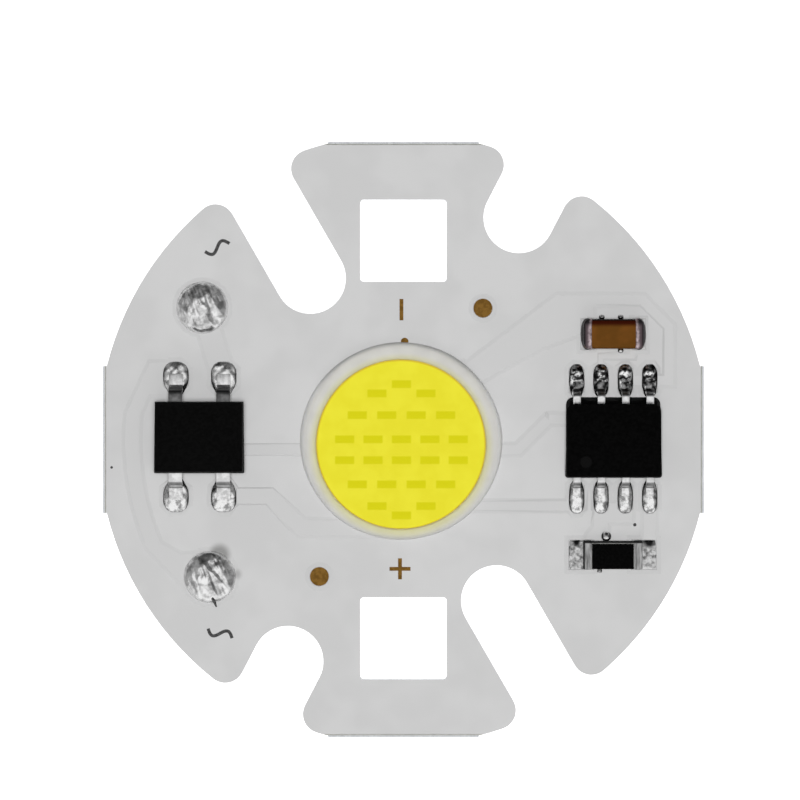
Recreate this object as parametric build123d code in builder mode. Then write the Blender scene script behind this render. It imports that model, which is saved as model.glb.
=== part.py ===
from build123d import *
from math import cos, radians, sin, tan
import os

os.makedirs("parts", exist_ok=True)

# Aluminium board
disc_radius = 16.0
flat_half_width = 15.75
flat_half_height = 15.6
side_bar_half = 3.85
end_bar_half = 3.95
bar_root = 12.0
base_thickness = 1.0
score_depth = 0.35
score_half_angle = 30.0

# Two long slots and two short notches that let the screws pass
notch_radius = 1.86
long_slot_depth = 6.25
long_slot_angle = 120.0
short_notch_depth = 2.9
short_notch_angle = 62.5
tip_radius = 1.0

# Two windows
window_width = 4.54
window_height = 4.32
window_inset = 5.18
window_corner = 0.2

# Layers on top of the aluminium
dielectric_thickness = 0.1
copper_thickness = 0.035
mask_thickness = 0.03
copper_margin = 0.1
pad_clip = 0.3
mask_clearance = 0.02
solder_film = 0.03

# Dam and phosphor
dam_x = -0.13
dam_y = -0.08
dam_outer_radius = 5.29
dam_bead_width = 1.14
dam_height = 0.65
bead_flats = 8
phosphor_depth = 0.52
phosphor_tilt = 1.6

# Dies under the phosphor
array_x = -0.105
array_y = -0.53
die_length = 1.0
die_width = 0.4
die_height = 0.15
long_row_pitch = 1.485
middle_row_pitch = 1.54
short_row_pitch = 1.28
inner_row_offset = 0.545
middle_row_offset = 1.81
outer_row_offset = 2.945
crown_offset = 3.43

# Bond wires
wire_radius = 0.015
wire_sides = 4
wire_rise = 0.1
wire_inset = 0.15
bond_pad_radius = 0.22
bond_reach_plus = 3.74
bond_angle_plus = 307.5
bond_reach_return = 3.55
bond_angle_return = 49.0

# Bridge rectifier
rectifier_inset = 5.09
rectifier_y = 0.14
rectifier_length = 4.7
rectifier_width = 3.76
rectifier_height = 2.4
rectifier_standoff = 0.1
rectifier_draft = 5.0
rectifier_corner = 0.06
rectifier_exit = 1.15
rectifier_pitch = 2.5
rectifier_span = 6.6
rectifier_shoulder = 0.52
rectifier_foot = 0.72
rectifier_lead_width = 0.72
rectifier_lead_thickness = 0.2
rectifier_pad_inner = 2.3
rectifier_pad_outer = 3.91
rectifier_pad_width = 1.28

# Driver in an eight-lead flat package
driver_inset = 4.77
driver_y = 0.04
driver_length = 4.95
driver_width = 3.95
driver_height = 1.4
driver_standoff = 0.1
driver_draft = 7.0
driver_corner = 0.2
driver_exit = 0.75
driver_pitch = 1.275
driver_span = 5.98
driver_shoulder = 0.36
driver_foot = 0.5
driver_lead_width = 0.4
driver_lead_thickness = 0.19
driver_pad_inner = 2.22
driver_pad_outer = 3.88
driver_pad_width = 0.76
dimple_radius = 0.3
dimple_depth = 0.06
dimple_inset_x = 1.1
dimple_inset_y = 0.75

# Lead roots, bends and solder
lead_root = 0.35
bend_radius = 0.2
solder_climb = 0.85
solder_slope = 30.0

# Ceramic capacitor
capacitor_shift = 0.0
capacitor_y = 5.52
capacitor_length = 3.14
capacitor_width = 1.6
capacitor_height = 1.2
capacitor_cap_width = 0.45
capacitor_pad_inner = 1.0
capacitor_pad_outer = 1.68

# Chip resistor
resistor_shift = -0.03
resistor_y = -6.03
resistor_length = 3.1
resistor_width = 1.52
resistor_height = 0.52
resistor_cap_width = 0.46
resistor_pad_inner = 1.0
resistor_pad_outer = 2.28
overcoat_length = 2.18
overcoat_width = 1.32
overcoat_thickness = 0.03
overcoat_shift = 0.08

# Chip parts in general
cap_wall = 0.03
chip_edge = 0.06
fillet_hollow = 0.08
capacitor_climb = 0.7
resistor_climb = 0.85

# Wire pads with their solder domes
wire_pad_radius = 1.33
wire_dome_height = 0.75
line_pad_shift = 0.13
line_pad_y = 6.91
neutral_pad_shift = 0.52
neutral_pad_y = -7.19

# Round bare copper marks
dot_radius = 0.51
dot_one_x = 4.16
dot_one_y = 6.88
dot_two_x = -4.4
dot_two_y = -7.17

# Copper tracks
rim_track_gap = 1.15
rim_track_width = 0.8
rim_track_start = 174.5
rim_track_end = 203.0
neutral_shoulder = 1.39
neutral_knee = 1.55
neutral_knee_rise = 1.22
neutral_tangent_angle = 225.0
line_track_width = 1.2
plus_knee = 2.4
plus_track_width = 0.87
plus_entry_angle = 254.0
plus_exit_angle = 314.0
driver_track_width = 0.5
die_street = 0.04
ground_knee = 0.84
ground_diagonal = 1.6
ground_plane_half_length = 2.1
ground_plane_half_width = 1.55
return_fan_above = 3.0
return_fan_below = 12.0
return_knee = 2.98
return_rise = 1.79
return_track_width = 0.55
return_turn = 1.52
return_diagonal = 1.4
return_edge = 3.78
return_edge_drop = 0.78
link_width = 0.3
link_level = 0.43
sense_width = 0.8
sense_drop = 0.54
resistor_link_width = 0.7

# Points closer than this count as one
same_place = 0.0001

# Middles of the parts, measured in from the flats
rectifier_x = rectifier_inset - flat_half_width
driver_x = flat_half_width - driver_inset
capacitor_x = driver_x + capacitor_shift
resistor_x = driver_x + resistor_shift
line_pad = (rectifier_x + line_pad_shift, line_pad_y)
neutral_pad = (rectifier_x + neutral_pad_shift, neutral_pad_y)
rim_track_outer = flat_half_width - rim_track_gap
rim_track_inner = rim_track_outer - rim_track_width
return_top_y = capacitor_y + return_rise

# Levels, counted up from the flat back of the board
copper_bottom = base_thickness + dielectric_thickness
copper_top = copper_bottom + copper_thickness
mask_low = copper_top
mask_high = copper_top + mask_thickness
foot_level = copper_top + solder_film
dam_inner_radius = dam_outer_radius - dam_bead_width
bead_radius = dam_outer_radius - dam_bead_width / 2
under_die_track = 2 * (inner_row_offset - die_width / 2 - mask_thickness - die_street)
dome_curve = (wire_pad_radius**2 + wire_dome_height**2) / (2 * wire_dome_height)


def polar(radius, angle, centre_x=0.0, centre_y=0.0):
    """The point at a radius and an angle, in degrees, round a centre."""
    turn = radians(angle)
    return (centre_x + radius * cos(turn), centre_y + radius * sin(turn))


# Places of the leads and of the bond pads
rectifier_left = rectifier_x - rectifier_pitch / 2
rectifier_right = rectifier_x + rectifier_pitch / 2
rectifier_pad_middle = (rectifier_pad_inner + rectifier_pad_outer) / 2
driver_columns = [driver_x + step * driver_pitch for step in (-1.5, -0.5, 0.5, 1.5)]
driver_pad_middle = (driver_pad_inner + driver_pad_outer) / 2
capacitor_pad_middle = (capacitor_pad_inner + capacitor_pad_outer) / 2
resistor_pad_middle = (resistor_pad_inner + resistor_pad_outer) / 2
plus_bond = polar(bond_reach_plus, bond_angle_plus, dam_x, dam_y)
return_bond = polar(bond_reach_return, bond_angle_return, dam_x, dam_y)

# Outline of the board: a disc cut by slots and notches, with break-off bars out to the flats
slot_cut = disc_radius
with BuildSketch() as outline:
    Circle(disc_radius)
    for depth, angle in ((long_slot_depth, long_slot_angle), (short_notch_depth, short_notch_angle)):
        with PolarLocations(disc_radius - depth + slot_cut / 2, 2, start_angle=angle):
            SlotCenterToCenter(slot_cut, 2 * notch_radius, mode=Mode.SUBTRACT)
    rim_corners = outline.vertices().filter_by(
        lambda corner: abs(Vector(corner).length - disc_radius) < same_place
    )
    fillet(rim_corners.filter_by(lambda corner: abs(corner.Y) > side_bar_half), tip_radius)
    with GridLocations(flat_half_width + bar_root, 0, 2, 1):
        Rectangle(flat_half_width - bar_root, 2 * side_bar_half)
    with GridLocations(0, flat_half_height + bar_root, 1, 2):
        Rectangle(2 * end_bar_half, flat_half_height - bar_root)
    Rectangle(2 * flat_half_width, 2 * flat_half_height, mode=Mode.INTERSECT)
    with GridLocations(0, 2 * (flat_half_height - window_inset), 1, 2):
        RectangleRounded(window_width, window_height, window_corner, mode=Mode.SUBTRACT)

# V-shaped score lines along the four flats, above and below
groove_mouth = score_depth
groove_reach = (score_depth + groove_mouth) * tan(radians(score_half_angle))
with BuildPart() as score_grooves:
    for plane, flat, bar_half in (
        (Plane.XZ, flat_half_width, side_bar_half),
        (Plane.YZ, flat_half_height, end_bar_half),
    ):
        for root, mouth in (
            (mask_high - score_depth, mask_high + groove_mouth),
            (score_depth, -groove_mouth),
        ):
            with BuildSketch(plane):
                with BuildLine():
                    Polyline(
                        (flat, root),
                        (flat - groove_reach, mouth),
                        (flat + groove_reach, mouth),
                        close=True,
                    )
                make_face()
            extrude(amount=bar_half + tip_radius, both=True)
    mirror(about=Plane.YZ)
    mirror(about=Plane.XZ)

with BuildPart() as aluminium_base:
    with BuildSketch():
        add(outline.sketch)
    extrude(amount=base_thickness)
    add(score_grooves.part, mode=Mode.SUBTRACT)
aluminium_base.part.label = "aluminium_base"
export_step(aluminium_base.part, "parts/aluminium_base.step")

with BuildPart() as dielectric_layer:
    with BuildSketch(Plane.XY.offset(base_thickness)):
        add(outline.sketch)
    extrude(amount=dielectric_thickness)
    add(score_grooves.part, mode=Mode.SUBTRACT)
dielectric_layer.part.label = "dielectric_layer"
export_step(dielectric_layer.part, "parts/dielectric_layer.step")


# Outlines that copper, mask and solder share, each drawn inside a sketch
def track(width, *points):
    """A track of constant width along a bent path."""
    with BuildLine() as path:
        Polyline(*points)
    trace(path.edges(), line_width=width)


def clipped_pad(length, width):
    """A pad with its four corners cut off at 45 degrees, its length along Y."""
    clip = pad_clip * width
    outer_x = width / 2
    outer_y = length / 2
    quarter = [(outer_x, outer_y - clip), (outer_x - clip, outer_y)]
    half = quarter + [(-x, y) for x, y in reversed(quarter)]
    Polygon(*half, *[(-x, -y) for x, y in half], align=Align.CENTER)


def rectifier_pad(x, side, grow=0.0):
    """One rectifier pad, on the side +1 or -1 of the body."""
    with Locations((x, rectifier_y + side * rectifier_pad_middle)):
        length = rectifier_pad_outer - rectifier_pad_inner + 2 * grow
        clipped_pad(length, rectifier_pad_width + 2 * grow)


def driver_pad(x, side, grow=0.0):
    """One driver pad, on the side +1 or -1 of the body."""
    with Locations((x, driver_y + side * driver_pad_middle)):
        length = driver_pad_outer - driver_pad_inner + 2 * grow
        clipped_pad(length, driver_pad_width + 2 * grow)


def capacitor_pad(side, grow=0.0):
    """One capacitor pad, on the side +1 or -1 of its middle."""
    with Locations((capacitor_x + side * capacitor_pad_middle, capacitor_y)):
        length = capacitor_pad_outer - capacitor_pad_inner + 2 * grow
        Rectangle(length, capacitor_width + 2 * grow)


def resistor_pad(side, grow=0.0):
    """One resistor pad, on the side +1 or -1 of its middle."""
    with Locations((resistor_x + side * resistor_pad_middle, resistor_y)):
        length = resistor_pad_outer - resistor_pad_inner + 2 * grow
        Rectangle(length, resistor_width + 2 * grow)


def round_pad(place, radius, grow=0.0):
    """A round pad, for a wire, a bond wire or a bare mark."""
    with Locations(place):
        Circle(radius + grow)


# Line: from the wire pad to the rectifier's upper right lead
with BuildSketch() as line_tracks:
    round_pad(line_pad, wire_pad_radius, copper_margin)
    rectifier_pad(rectifier_right, 1, copper_margin)
    track(line_track_width, line_pad, (rectifier_right, rectifier_y + rectifier_pad_middle))

# Neutral: from the wire pad along the rim to the rectifier's upper left lead
with BuildSketch() as neutral_tracks:
    round_pad(neutral_pad, wire_pad_radius, copper_margin)
    rectifier_pad(rectifier_left, 1, copper_margin)
    with BuildLine():
        outer = CenterArc((0, 0), rim_track_outer, rim_track_start, rim_track_end - rim_track_start)
        inner = CenterArc((0, 0), rim_track_inner, rim_track_start, rim_track_end - rim_track_start)
        Line(outer @ 0, inner @ 0)
        Line(outer @ 1, inner @ 1)
    make_face()
    pad_far = rectifier_y + rectifier_pad_outer
    pad_near = rectifier_y + rectifier_pad_inner - copper_margin
    with BuildLine():
        Polyline(
            outer @ 0,
            (rectifier_left - neutral_shoulder, pad_far),
            (rectifier_left, pad_far),
            (rectifier_left, pad_near),
            (rectifier_left - neutral_shoulder, pad_near),
            inner @ 0,
            close=True,
        )
    make_face()
    with BuildLine():
        Polyline(
            outer @ 1,
            polar(wire_pad_radius, neutral_tangent_angle, *neutral_pad),
            neutral_pad,
            (neutral_pad[0], neutral_pad[1] + neutral_knee_rise),
            (neutral_pad[0] - neutral_knee, neutral_pad[1] + neutral_knee_rise),
            inner @ 1,
            close=True,
        )
    make_face()

# Plus: from the rectifier's lower right lead under the dam to the dies and the driver
plus_entry = polar(bead_radius, plus_entry_angle, dam_x, dam_y)
plus_exit = polar(bead_radius, plus_exit_angle, dam_x, dam_y)
plus_start_y = rectifier_y - rectifier_pad_middle
plus_drop = plus_start_y - plus_entry[1]
with BuildSketch() as plus_tracks:
    rectifier_pad(rectifier_right, -1, copper_margin)
    track(
        plus_track_width,
        (rectifier_right, plus_start_y),
        (rectifier_right + plus_knee, plus_start_y),
        (rectifier_right + plus_knee + plus_drop, plus_entry[1]),
        plus_entry,
    )
    with BuildLine() as under_dam:
        sweep_angle = plus_exit_angle - plus_entry_angle
        CenterArc((dam_x, dam_y), bead_radius, plus_entry_angle, sweep_angle)
    trace(under_dam.edges(), line_width=driver_track_width)
    track(driver_track_width, plus_exit, (driver_columns[0], plus_exit[1]))
    driver_pad(driver_columns[0], -1, copper_margin)
    round_pad(plus_bond, bond_pad_radius, copper_margin)
    track(bond_pad_radius, plus_bond, polar(bead_radius, bond_angle_plus, dam_x, dam_y))

# Ground: from the rectifier's lower left lead, between the die rows, to the driver and its neighbours
ground_left = (rectifier_left, rectifier_y - rectifier_pad_inner)
ground_bend = (dam_x + dam_outer_radius + ground_knee, array_y)
ground_turn = (ground_bend[0] + ground_diagonal, ground_bend[1] + ground_diagonal)
capacitor_ground = (capacitor_x + capacitor_pad_inner, capacitor_y)
link_y = driver_y + driver_pad_outer + link_level
resistor_ground = (driver_columns[3], resistor_y)
with BuildSketch() as ground_tracks:
    rectifier_pad(rectifier_left, -1, copper_margin)
    track(under_die_track, ground_left, (rectifier_left, array_y), ground_bend, ground_turn)
    track(under_die_track, ground_turn, (driver_x, ground_turn[1]))
    with Locations((driver_x, driver_y)):
        Rectangle(2 * ground_plane_half_length, 2 * ground_plane_half_width)
    for column, side in ((0, 1), (1, 1), (3, -1)):
        driver_pad(driver_columns[column], side, copper_margin)
        track(driver_track_width, (driver_columns[column], driver_y),
              (driver_columns[column], driver_y + side * driver_pad_middle))
    track(link_width, (driver_columns[1], driver_y + driver_pad_middle), (driver_columns[1], link_y),
          (capacitor_ground[0], link_y), capacitor_ground)
    capacitor_pad(1, copper_margin)
    track(resistor_link_width, (driver_columns[3], driver_y - driver_pad_middle), resistor_ground)
    resistor_pad(1, copper_margin)

# Return: from the last die over the capacitor to the driver's drain leads
capacitor_left = capacitor_x - capacitor_pad_outer
with BuildSketch() as return_tracks:
    round_pad(return_bond, bond_pad_radius, copper_margin)
    track(driver_track_width, return_bond, polar(dam_outer_radius, bond_angle_return, dam_x, dam_y))
    with BuildLine():
        Polyline(
            polar(bead_radius, bond_angle_return + return_fan_above, dam_x, dam_y),
            (capacitor_x - return_knee, return_top_y + return_track_width / 2),
            (capacitor_x - capacitor_pad_inner, return_top_y + return_track_width / 2),
            (capacitor_x - capacitor_pad_inner, capacitor_y),
            (capacitor_left, capacitor_y),
            (capacitor_x - return_edge, capacitor_y - return_edge_drop),
            polar(bead_radius, bond_angle_return - return_fan_below, dam_x, dam_y),
            close=True,
        )
    make_face()
    capacitor_pad(-1, copper_margin)
    track(
        return_track_width,
        (capacitor_x - capacitor_pad_inner, return_top_y),
        (capacitor_x + return_turn, return_top_y),
        (capacitor_x + return_turn + return_diagonal, return_top_y - return_diagonal),
        (capacitor_x + return_turn + return_diagonal, driver_y + driver_pad_middle),
        (driver_columns[2], driver_y + driver_pad_middle),
    )
    for column in (2, 3):
        driver_pad(driver_columns[column], 1, copper_margin)

# Sense: from the driver's two sense leads to the resistor
sense_level = driver_y - driver_pad_outer
with BuildSketch() as sense_tracks:
    for column in (1, 2):
        driver_pad(driver_columns[column], -1, copper_margin)
    with Locations(((driver_columns[1] + driver_columns[2]) / 2, sense_level)):
        Rectangle(driver_pitch + driver_pad_width, 2 * sense_drop)
    track(
        sense_width,
        (driver_columns[1], sense_level),
        (driver_columns[1], sense_level - sense_width),
        (resistor_x - resistor_pad_middle, resistor_y),
    )
    resistor_pad(-1, copper_margin)

# Round bare marks, beside the dam
dot_places = [(dot_one_x, dot_one_y), (dot_two_x, dot_two_y)]
with BuildSketch() as dot_copper:
    for place in dot_places:
        round_pad(place, dot_radius, copper_margin)

copper_sketches = {
    "copper_line": line_tracks,
    "copper_neutral": neutral_tracks,
    "copper_plus": plus_tracks,
    "copper_ground": ground_tracks,
    "copper_return": return_tracks,
    "copper_sense": sense_tracks,
    "fiducial_dots": dot_copper,
}
for label, tracks in copper_sketches.items():
    with BuildPart() as copper:
        with BuildSketch(Plane.XY.offset(copper_bottom)):
            add(tracks.sketch)
        extrude(amount=copper_thickness)
    copper.part.label = label
    export_step(copper.part, f"parts/{label}.step")

# White mask: level with the copper beside it, raised over the copper, open at every pad
with BuildSketch() as mask_openings:
    for x in (rectifier_left, rectifier_right):
        for side in (1, -1):
            rectifier_pad(x, side, mask_clearance)
    for x in driver_columns:
        for side in (1, -1):
            driver_pad(x, side, mask_clearance)
    for side in (1, -1):
        capacitor_pad(side, mask_clearance)
        resistor_pad(side, mask_clearance)
    for place in (line_pad, neutral_pad):
        round_pad(place, wire_pad_radius, mask_clearance)
    for place in (plus_bond, return_bond):
        round_pad(place, bond_pad_radius)
    for place in dot_places:
        round_pad(place, dot_radius)

with BuildPart() as solder_mask:
    with BuildSketch(Plane.XY.offset(copper_bottom)):
        add(outline.sketch)
    extrude(amount=copper_thickness)
    with BuildSketch(Plane.XY.offset(copper_bottom)):
        for tracks in copper_sketches.values():
            add(tracks.sketch)
        offset(amount=mask_thickness, kind=Kind.TANGENT)
    extrude(amount=copper_thickness + mask_thickness)
    with BuildSketch(Plane.XY.offset(copper_bottom)):
        for tracks in copper_sketches.values():
            add(tracks.sketch)
    extrude(amount=copper_thickness, mode=Mode.SUBTRACT)
    with BuildSketch(Plane.XY.offset(copper_top)):
        add(mask_openings.sketch)
    extrude(amount=2 * mask_thickness, mode=Mode.SUBTRACT)
    add(score_grooves.part, mode=Mode.SUBTRACT)
solder_mask.part.label = "solder_mask"
export_step(solder_mask.part, "parts/solder_mask.step")

# Dies in six rows, the crown die of the first and last row set further out
long_row = [step * long_row_pitch for step in (-2, -1, 0, 1, 2)]
middle_row = [step * middle_row_pitch for step in (-1.5, -0.5, 0.5, 1.5)]
die_rows = [
    [(-short_row_pitch, outer_row_offset), (0, crown_offset), (short_row_pitch, outer_row_offset)],
    [(x, middle_row_offset) for x in middle_row],
    [(x, inner_row_offset) for x in long_row],
    [(x, -inner_row_offset) for x in long_row],
    [(x, -middle_row_offset) for x in middle_row],
    [(-short_row_pitch, -outer_row_offset), (0, -crown_offset), (short_row_pitch, -outer_row_offset)],
]
dies = []
for number, row in enumerate(die_rows, start=1):
    with BuildPart(Plane((array_x, array_y, mask_low))) as die_row:
        with Locations(*[(x, y) for x, y in row]):
            Box(die_length, die_width, die_height, align=(Align.CENTER, Align.CENTER, Align.MIN))
    die_row.part.label = f"led_row_{number}"
    export_step(die_row.part, f"parts/led_row_{number}.step")
    dies.append(die_row.part)

# Gold wires, from the return bond pad back and forth through the rows to the plus bond pad.
# Each is bent once, and a few flats stand in for its round section.
wire_ends = [(return_bond, return_bond)]
for number, row in enumerate(die_rows):
    step = -1 if number % 2 == 0 else 1
    reach = step * (die_length / 2 - wire_inset)
    for x, y in row[::step]:
        middle = (array_x + x, array_y + y)
        wire_ends.append(((middle[0] - reach, middle[1]), (middle[0] + reach, middle[1])))
wire_ends.append((plus_bond, plus_bond))
die_top = mask_low + die_height
with BuildPart() as bond_wires:
    for (_, start), (finish, _) in zip(wire_ends, wire_ends[1:]):
        start_level = (copper_top if start == return_bond else die_top) + wire_radius
        finish_level = (copper_top if finish == plus_bond else die_top) + wire_radius
        crest = ((start[0] + finish[0]) / 2, (start[1] + finish[1]) / 2, die_top + wire_rise)
        with BuildLine() as loop:
            Polyline((*start, start_level), crest, (*finish, finish_level))
        with BuildSketch(Plane(loop.line @ 0, z_dir=loop.line % 0)):
            RegularPolygon(wire_radius, wire_sides)
        sweep(path=loop.line, transition=Transition.RIGHT)
bond_wires.part.label = "bond_wires"
export_step(bond_wires.part, "parts/bond_wires.step")

# Dam: a round-topped bead of silicone, in a few flats, seated over the ridges of the mask
bead_profile = []
for flat in range(bead_flats + 1):
    turn = radians(180 * flat / bead_flats)
    bead_profile.append((bead_radius + dam_bead_width / 2 * cos(turn), dam_height * sin(turn)))
with BuildPart() as dam_ring:
    with BuildSketch(Plane((dam_x, dam_y, mask_low), (1, 0, 0), (0, -1, 0))):
        with BuildLine():
            Polyline(*bead_profile, close=True)
        make_face()
    revolve(axis=Axis((dam_x, dam_y, 0), (0, 0, 1)))
    add(solder_mask.part, mode=Mode.SUBTRACT)
dam_ring.part.label = "dam_ring"
export_step(dam_ring.part, "parts/dam_ring.step")

# Phosphor: poured level into the dam with the board slightly tilted, round the dies and wires
surface = Plane((dam_x, dam_y, mask_low + phosphor_depth)).rotated((-phosphor_tilt, 0, 0))
with BuildPart() as phosphor_fill:
    with BuildSketch(Plane((dam_x, dam_y, mask_low))):
        Circle(bead_radius)
    extrude(amount=dam_height)
    split(bisect_by=surface, keep=Keep.BOTTOM)
    add(dam_ring.part, mode=Mode.SUBTRACT)
    add(solder_mask.part, mode=Mode.SUBTRACT)
    for die_row in dies:
        add(die_row, mode=Mode.SUBTRACT)
    add(bond_wires.part, mode=Mode.SUBTRACT)
phosphor_fill.part.label = "phosphor_fill"
export_step(phosphor_fill.part, "parts/phosphor_fill.step")


# Parts with gull-wing leads
def moulded_body(centre, length, width, height, standoff, exit_height, draft, corner):
    """A moulded body that tapers up and down from the parting line where the leads come out."""
    bottom = mask_high + standoff
    parting = foot_level + exit_height
    top = bottom + height
    with BuildPart() as body:
        for plane, reach in (
            (Plane((*centre, parting)), top - parting),
            (Plane((*centre, parting)).rotated((180, 0, 0)), parting - bottom),
        ):
            with BuildSketch(plane) as section:
                Rectangle(length, width)
                chamfer(section.vertices(), corner)
            extrude(amount=reach, taper=draft)
    return body.part


def gull_wing(x, centre_y, side, body_width, exit_height, shoulder, foot, span, width, thickness):
    """A flat lead, bent down from the parting line of the body to its foot on the pad."""
    tip = span / 2
    exit_edge = body_width / 2
    foot_middle = foot_level + thickness / 2
    with BuildPart() as lead:
        with BuildSketch(Plane((x, centre_y, 0), x_dir=(0, side, 0), z_dir=(side, 0, 0))):
            with BuildLine() as path:
                FilletPolyline(
                    (exit_edge - lead_root, foot_level + exit_height),
                    (exit_edge + shoulder, foot_level + exit_height),
                    (tip - foot, foot_middle),
                    (tip, foot_middle),
                    radius=bend_radius,
                )
            trace(line_width=thickness)
        extrude(amount=width / 2, both=True)
    return lead.part


def lead_joint(draw_pad, x, side, thickness, lead):
    """Solder on one pad, sloping up to the lead's foot."""
    with BuildPart() as joint:
        with BuildSketch(Plane.XY.offset(copper_top)):
            draw_pad(x, side)
        extrude(amount=solder_film + solder_climb * thickness, taper=solder_slope)
        add(lead, mode=Mode.SUBTRACT)
    return joint.part


rectifier_leads = []
corners = [(rectifier_left, 1), (rectifier_right, 1), (rectifier_left, -1), (rectifier_right, -1)]
for number, (x, side) in enumerate(corners, start=1):
    lead = gull_wing(
        x,
        rectifier_y,
        side,
        rectifier_width,
        rectifier_exit,
        rectifier_shoulder,
        rectifier_foot,
        rectifier_span,
        rectifier_lead_width,
        rectifier_lead_thickness,
    )
    lead.label = f"rectifier_lead_{number}"
    export_step(lead, f"parts/rectifier_lead_{number}.step")
    rectifier_leads.append(lead)
    joint = lead_joint(rectifier_pad, x, side, rectifier_lead_thickness, lead)
    joint.label = f"rectifier_joint_{number}"
    export_step(joint, f"parts/rectifier_joint_{number}.step")

with BuildPart() as rectifier_body:
    add(moulded_body((rectifier_x, rectifier_y), rectifier_length, rectifier_width, rectifier_height,
                     rectifier_standoff, rectifier_exit, rectifier_draft, rectifier_corner))
    for lead in rectifier_leads:
        add(lead, mode=Mode.SUBTRACT)
rectifier_body.part.label = "rectifier_body"
export_step(rectifier_body.part, "parts/rectifier_body.step")

driver_leads = []
pins = [(x, -1) for x in driver_columns] + [(x, 1) for x in reversed(driver_columns)]
for number, (x, side) in enumerate(pins, start=1):
    lead = gull_wing(
        x,
        driver_y,
        side,
        driver_width,
        driver_exit,
        driver_shoulder,
        driver_foot,
        driver_span,
        driver_lead_width,
        driver_lead_thickness,
    )
    lead.label = f"driver_lead_{number}"
    export_step(lead, f"parts/driver_lead_{number}.step")
    driver_leads.append(lead)
    joint = lead_joint(driver_pad, x, side, driver_lead_thickness, lead)
    joint.label = f"driver_joint_{number}"
    export_step(joint, f"parts/driver_joint_{number}.step")

driver_top = mask_high + driver_standoff + driver_height
with BuildPart() as driver_body:
    add(moulded_body((driver_x, driver_y), driver_length, driver_width, driver_height,
                     driver_standoff, driver_exit, driver_draft, driver_corner))
    for lead in driver_leads:
        add(lead, mode=Mode.SUBTRACT)
    dimple_x = driver_x - driver_length / 2 + dimple_inset_x
    dimple_y = driver_y - driver_width / 2 + dimple_inset_y
    with Locations((dimple_x, dimple_y, driver_top)):
        Hole(dimple_radius, dimple_depth)
driver_body.part.label = "driver_body"
export_step(driver_body.part, "parts/driver_body.step")


# Chip parts: a block with a metal cap folded round each end
def chip_block(centre, length, width, height):
    """The ceramic block of a chip part, lying on its two caps."""
    with BuildPart() as block:
        with Locations((*centre, foot_level + cap_wall)):
            Box(length - 2 * cap_wall, width - 2 * cap_wall, height - 2 * cap_wall,
                align=(Align.CENTER, Align.CENTER, Align.MIN))
        chamfer(block.edges().filter_by(Axis.X), chip_edge)
    return block.part


def chip_cap(centre, side, length, width, height, cap_width, block):
    """The metal cap on one end of a chip part, a thin shell fitted over the block."""
    with BuildPart() as cap:
        with Locations((centre[0] + side * (length - cap_width) / 2, centre[1], foot_level)):
            Box(cap_width, width, height, align=(Align.CENTER, Align.CENTER, Align.MIN))
        outer_end = cap.faces().sort_by(Axis.X)[-1 if side > 0 else 0]
        chamfer(cap.edges().filter_by(Axis.X) + outer_end.edges(), chip_edge)
        add(block, mode=Mode.SUBTRACT)
    return cap.part


def chip_joint(centre, side, length, height, outer, width, inner, climb, cap, block):
    """Solder between one pad and one cap, with a hollow slope up the cap's end."""
    end = length / 2
    crest = solder_film + climb * height
    with BuildPart() as joint:
        with BuildSketch(Plane((*centre, copper_top), x_dir=(side, 0, 0), z_dir=(0, -side, 0))):
            with BuildLine():
                Polyline((outer, 0), (inner, 0), (inner, solder_film), (end - chip_edge, solder_film),
                         (end - chip_edge, crest), (end, crest))
                SagittaArc((end, crest), (outer, solder_film), -fillet_hollow)
                Line((outer, solder_film), (outer, 0))
            make_face()
        extrude(amount=width / 2, both=True)
        add(cap, mode=Mode.SUBTRACT)
        add(block, mode=Mode.SUBTRACT)
    return joint.part


capacitor_centre = (capacitor_x, capacitor_y)
capacitor_body = chip_block(capacitor_centre, capacitor_length, capacitor_width, capacitor_height)
capacitor_body.label = "capacitor_body"
export_step(capacitor_body, "parts/capacitor_body.step")

resistor_centre = (resistor_x, resistor_y)
resistor_ceramic = chip_block(resistor_centre, resistor_length, resistor_width, resistor_height)
resistor_ceramic.label = "resistor_ceramic"
export_step(resistor_ceramic, "parts/resistor_ceramic.step")

with BuildPart() as resistor_overcoat:
    ceramic_top = foot_level + resistor_height - cap_wall
    with BuildSketch(Plane((resistor_x, resistor_y - overcoat_shift, ceramic_top))):
        Rectangle(overcoat_length, overcoat_width)
    extrude(amount=overcoat_thickness)
resistor_overcoat.part.label = "resistor_overcoat"
export_step(resistor_overcoat.part, "parts/resistor_overcoat.step")

for word, side in (("left", -1), ("right", 1)):
    cap = chip_cap(capacitor_centre, side, capacitor_length, capacitor_width, capacitor_height,
                   capacitor_cap_width, capacitor_body)
    cap.label = f"capacitor_end_{word}"
    export_step(cap, f"parts/capacitor_end_{word}.step")
    joint = chip_joint(capacitor_centre, side, capacitor_length, capacitor_height,
                       capacitor_pad_outer, capacitor_width, capacitor_pad_inner, capacitor_climb, cap,
                       capacitor_body)
    joint.label = f"capacitor_joint_{word}"
    export_step(joint, f"parts/capacitor_joint_{word}.step")

    cap = chip_cap(resistor_centre, side, resistor_length, resistor_width, resistor_height,
                   resistor_cap_width, resistor_ceramic)
    cap.label = f"resistor_end_{word}"
    export_step(cap, f"parts/resistor_end_{word}.step")
    joint = chip_joint(resistor_centre, side, resistor_length, resistor_height,
                       resistor_pad_outer, resistor_width, resistor_pad_inner, resistor_climb, cap,
                       resistor_ceramic)
    joint.label = f"resistor_joint_{word}"
    export_step(joint, f"parts/resistor_joint_{word}.step")

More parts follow.
